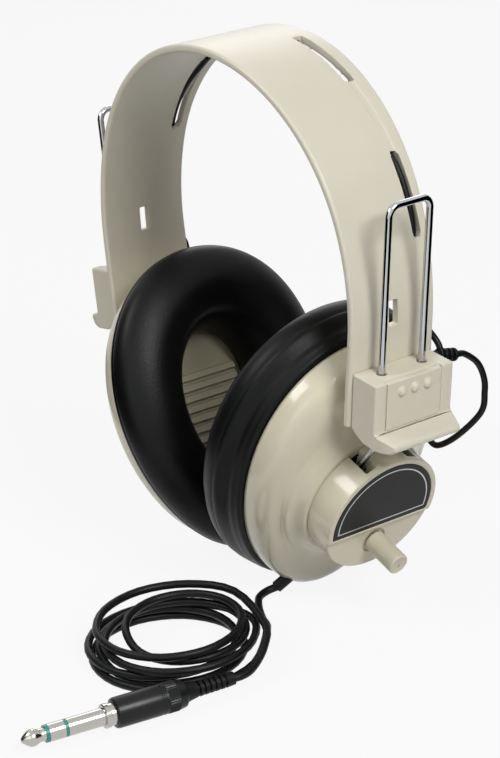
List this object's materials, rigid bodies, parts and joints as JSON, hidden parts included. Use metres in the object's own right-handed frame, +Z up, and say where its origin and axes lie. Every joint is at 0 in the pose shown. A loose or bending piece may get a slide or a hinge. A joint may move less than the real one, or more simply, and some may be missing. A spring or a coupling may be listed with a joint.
{
  "type": "radio headphones",
  "caption": "Over-ear radio headphones: sprung headband, sliding chrome wire yokes, tilting padded cups with volume knobs, and a coiled cord with a stereo plug.",
  "frame": {"origin": "on the floor under the middle of the headset", "axes": "Z up, X from the left cup to the right cup, -Y the way the wearer faces"},
  "size_m": [0.1908, 0.2066, 0.2082],
  "materials": {
    "beige_plastic": "glossy moulded plastic",
    "knob_plastic": "satin moulded plastic",
    "black_vinyl": "matte soft vinyl",
    "black_rubber": "matte",
    "cable_jacket": "satin",
    "chrome_wire": "bright chrome plate",
    "black_plate": "satin",
    "silver_line": "printed silver",
    "speaker_paper": "matte",
    "plated_steel": "plated",
    "plug_barrel": "satin",
    "nickel": "bright nickel plate",
    "teal_insulator": "glossy"
  },
  "bodies": {
    "right_cup": {"right_shell": "beige_plastic", "right_cap": "beige_plastic", "right_plate": "black_plate", "right_plate_line": "silver_line", "right_baffle": "beige_plastic", "right_driver": "speaker_paper", "right_magnet": "plated_steel", "right_cushion": "black_vinyl", "right_pot": "plated_steel", "right_grommet": "black_rubber", "cord_gland": "black_rubber", "cord_lead": "cable_jacket", "cord_coil": "cable_jacket", "cord_tail": "cable_jacket", "plug_boot": "black_rubber", "plug_barrel": "plug_barrel", "plug_collar": "nickel", "plug_sleeve": "nickel", "plug_ring": "nickel", "plug_tip": "nickel", "plug_insulators": "teal_insulator"},
    "right_knob": {"right_knob": "knob_plastic"},
    "right_yoke": {"right_yoke": "chrome_wire", "right_loop_upper": "cable_jacket", "right_loop_lower": "cable_jacket"},
    "headband": {"headband": "beige_plastic", "band_cable": "cable_jacket", "right_housing": "beige_plastic", "right_cover": "beige_plastic", "right_friction_pad": "black_rubber", "left_housing": "beige_plastic", "left_cover": "beige_plastic", "left_friction_pad": "black_rubber", "right_strain_relief": "black_rubber", "left_strain_relief": "black_rubber", "right_drop": "cable_jacket", "left_drop": "cable_jacket"},
    "left_yoke": {"left_yoke": "chrome_wire", "left_loop_upper": "cable_jacket", "left_loop_lower": "cable_jacket"},
    "left_cup": {"left_shell": "beige_plastic", "left_cap": "beige_plastic", "left_plate": "black_plate", "left_plate_line": "silver_line", "left_baffle": "beige_plastic", "left_driver": "speaker_paper", "left_magnet": "plated_steel", "left_cushion": "black_vinyl", "left_pot": "plated_steel", "left_grommet": "black_rubber"},
    "left_knob": {"left_knob": "knob_plastic"}
  },
  "joints": [
    {"name": "right_cup_tilt", "type": "hinge", "parent": "right_cup", "child": "right_yoke", "pos_m": [0.06667, 0, 0.06116], "axis": [0, 1, 0], "range_deg": [0, 25], "deforming": ["right_loop_lower"]},
    {"name": "right_yoke_slide", "type": "slide", "parent": "right_yoke", "child": "headband", "axis": [0.1045, 0, 0.9945], "range_m": [0, 0.055], "deforming": ["right_loop_upper"]},
    {"name": "left_yoke_slide", "type": "slide", "parent": "headband", "child": "left_yoke", "axis": [0.1045, 0, -0.9945], "range_m": [0, 0.055], "deforming": ["left_loop_upper"]},
    {"name": "left_cup_tilt", "type": "hinge", "parent": "left_yoke", "child": "left_cup", "pos_m": [-0.06667, 0, 0.06116], "axis": [0, 1, 0], "range_deg": [0, 25], "deforming": ["left_loop_lower"]},
    {"name": "right_knob_turn", "type": "hinge", "parent": "right_cup", "child": "right_knob", "pos_m": [0.06415, 0, 0.02792], "axis": [0.9397, 0, -0.342], "range_deg": [-150, 150]},
    {"name": "left_knob_turn", "type": "hinge", "parent": "left_cup", "child": "left_knob", "pos_m": [-0.06415, 0, 0.02792], "axis": [-0.9397, 0, -0.342], "range_deg": [-150, 150]}
  ]
}
